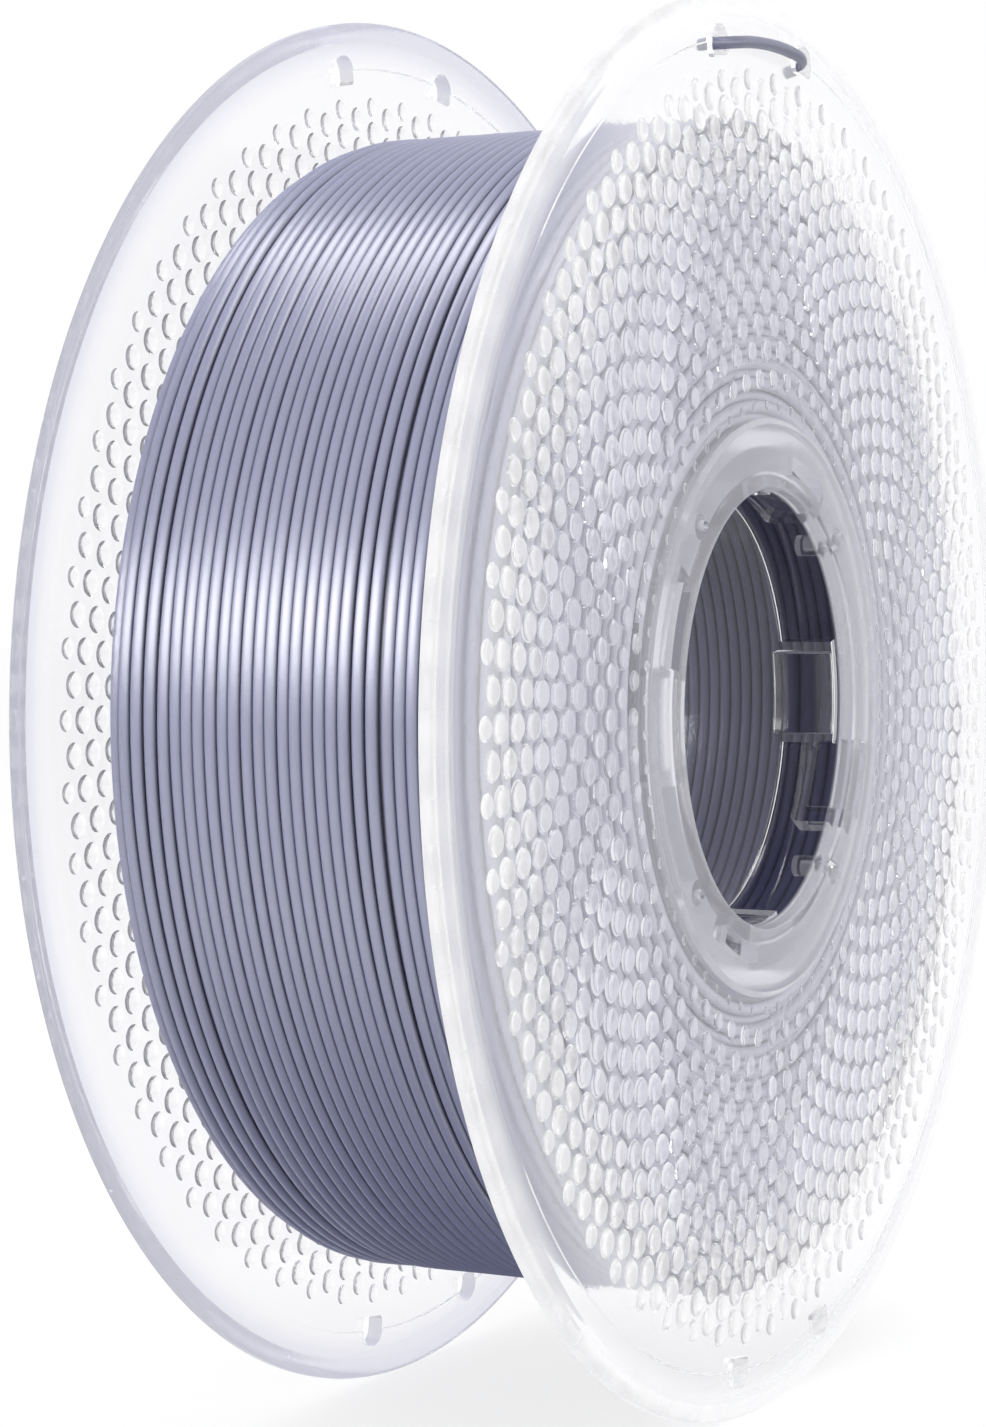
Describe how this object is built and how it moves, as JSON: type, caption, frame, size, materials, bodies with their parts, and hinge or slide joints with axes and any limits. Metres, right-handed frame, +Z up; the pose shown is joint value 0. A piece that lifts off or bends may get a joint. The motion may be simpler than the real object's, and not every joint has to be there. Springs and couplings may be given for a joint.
{
  "type": "filament spool",
  "caption": "Clear filament spool: flange halves covered in small round domes joined by a bayonet in the hub, wound with silky filament whose end is clipped through the rim.",
  "frame": {"origin": "middle of the spool, on its axis, half way between the two flanges", "axes": "+Y along the spool's axis from the front flange to the back flange, +Z up, +X to the right when the front flange is faced"},
  "size_m": [0.1996, 0.0642, 0.1996],
  "materials": {
    "clear_plastic": "clear moulded plastic, glossy, faint lavender tint",
    "silk_filament": "silky satin lavender grey filament"
  },
  "bodies": {
    "front": {"front_half": "clear_plastic", "filament_coil": "silk_filament", "filament_tail": "silk_filament"},
    "back": {"back_half": "clear_plastic"},
    "tongue_1": {"latch_tongue_1": "clear_plastic"},
    "tongue_2": {"latch_tongue_2": "clear_plastic"},
    "tongue_3": {"latch_tongue_3": "clear_plastic"},
    "tongue_4": {"latch_tongue_4": "clear_plastic"}
  },
  "joints": [
    {"name": "twist_lock", "type": "hinge", "parent": "front", "child": "back", "pos_m": [0, 0, 0], "axis": [0, 1, 0], "range_deg": [-22, 0]},
    {"name": "latch_flex_1", "type": "hinge", "parent": "front", "child": "tongue_1", "pos_m": [0.03127, -0.0274, 0.00128], "axis": [-0.041, 0, 0.9992], "range_deg": [0, 8]},
    {"name": "latch_flex_2", "type": "hinge", "parent": "front", "child": "tongue_2", "pos_m": [0.00128, -0.0274, -0.03127], "axis": [0.9992, 0, 0.041], "range_deg": [0, 8]},
    {"name": "latch_flex_3", "type": "hinge", "parent": "front", "child": "tongue_3", "pos_m": [-0.03127, -0.0274, -0.00128], "axis": [0.041, 0, -0.9992], "range_deg": [0, 8]},
    {"name": "latch_flex_4", "type": "hinge", "parent": "front", "child": "tongue_4", "pos_m": [-0.00128, -0.0274, 0.03127], "axis": [-0.9992, 0, -0.041], "range_deg": [0, 8]}
  ]
}
